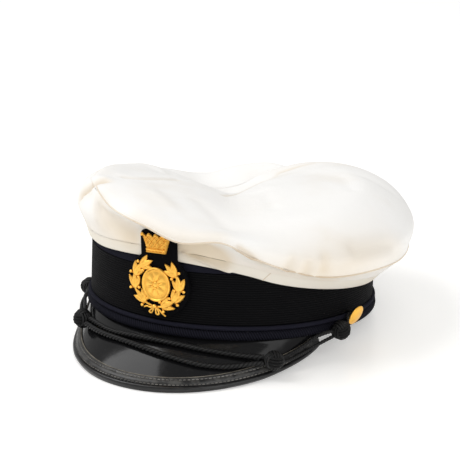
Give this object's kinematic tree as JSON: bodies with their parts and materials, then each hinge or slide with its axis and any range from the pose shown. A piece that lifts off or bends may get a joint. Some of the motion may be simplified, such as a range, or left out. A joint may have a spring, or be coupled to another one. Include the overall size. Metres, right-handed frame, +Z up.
{
  "type": "peaked cap",
  "caption": "Peaked cap with a soft white crown cover over a ribbed dark band, a glossy peak with a bound edge, a gilt wreath badge and a twisted black chin cord.",
  "frame": {"origin": "on the surface that the cap lies on, under the middle of the cap", "axes": "+Z up, the peak towards -Y, the wearer's left towards +X; the cap lies tipped back on its peak and rear welt"},
  "size_m": [0.2194, 0.2465, 0.1043],
  "materials": {
    "white_cloth": "matt white cotton cover",
    "hem_cloth": "cream doubled hem",
    "navy_cloth": "dark navy wool",
    "braid": "ribbed dark braid",
    "peak_gloss": "glossy black",
    "binding": "satin black, stitched",
    "badge_cloth": "black felt",
    "gilt": "satin gilt",
    "cord": "black twisted cord"
  },
  "bodies": {
    "root": {"crown_top": "white_cloth", "crown_side": "white_cloth", "crown_hem": "hem_cloth", "body_cloth": "navy_cloth", "band": "braid", "welt_piping": "navy_cloth", "welt_roll": "navy_cloth", "peak": "peak_gloss", "peak_binding": "binding", "badge_patch": "badge_cloth", "badge_wreath": "gilt", "badge_medallion": "gilt", "badge_coronet": "gilt", "button_left": "gilt", "button_right": "gilt", "rope_upper": "cord", "rope_lower": "cord", "loop_left_front": "cord", "loop_left_back": "cord", "loop_right_front": "cord", "loop_right_back": "cord", "eye_left": "cord", "eye_right": "cord", "knot_left_slide": "cord", "knot_right_slide": "cord", "knot_left_button": "cord", "knot_right_button": "cord"}
  },
  "joints": []
}
